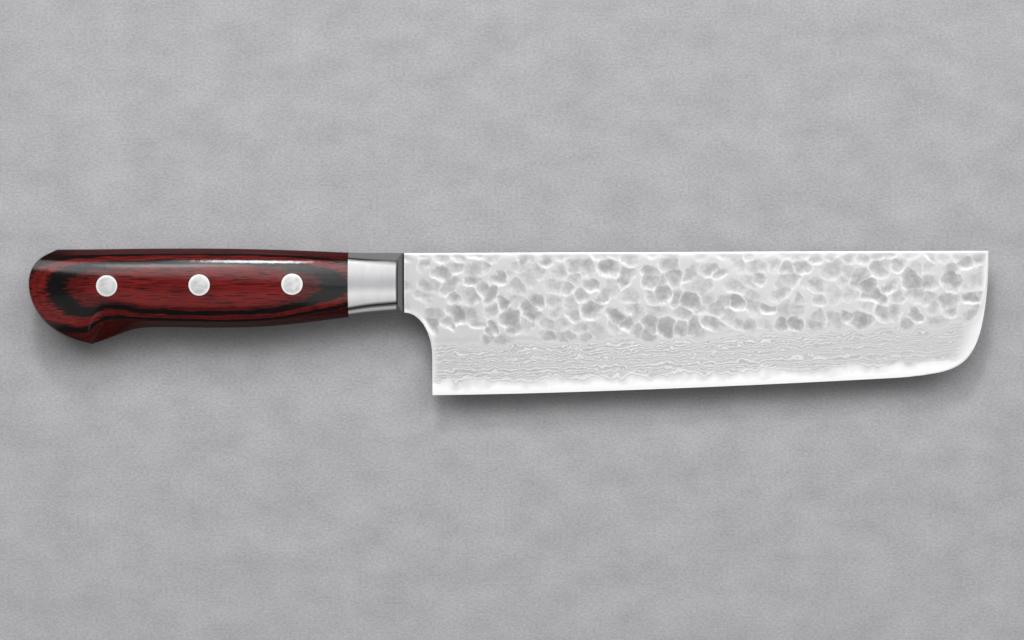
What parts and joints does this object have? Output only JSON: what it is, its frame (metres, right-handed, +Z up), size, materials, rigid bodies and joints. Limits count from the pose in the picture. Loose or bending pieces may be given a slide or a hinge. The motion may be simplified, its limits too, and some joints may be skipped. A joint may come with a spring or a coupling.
{
  "type": "nakiri knife",
  "caption": "Straight-edged vegetable knife with a hammered, layered steel blade, welded bolster and riveted laminated-wood handle.",
  "frame": {"origin": "on the surface that the knife lies on, under the middle of its outline", "axes": "+X towards the tip, +Y towards the spine, +Z up out of the right side of the blade"},
  "size_m": [0.2842, 0.0438, 0.0178],
  "materials": {
    "core_steel": "hardened steel, polished bright along the edge",
    "damascus_steel": "folded steel, hammered above and fine layered lines below",
    "tang_steel": "ground satin",
    "bolster_steel": "fine satin, brushed across",
    "laminated_wood": "red and black resin-filled plies, polished to a clear gloss",
    "rivet_steel": "ground flush, satin with a bright rim"
  },
  "bodies": {
    "root": {"core_steel": "core_steel", "damascus_cladding_right": "damascus_steel", "damascus_cladding_left": "damascus_steel", "tang": "tang_steel", "bolster_right": "bolster_steel", "bolster_left": "bolster_steel", "scale_right": "laminated_wood", "scale_left": "laminated_wood", "rivet_front_female": "rivet_steel", "rivet_front_male": "rivet_steel", "rivet_middle_female": "rivet_steel", "rivet_middle_male": "rivet_steel", "rivet_rear_female": "rivet_steel", "rivet_rear_male": "rivet_steel"}
  },
  "joints": []
}
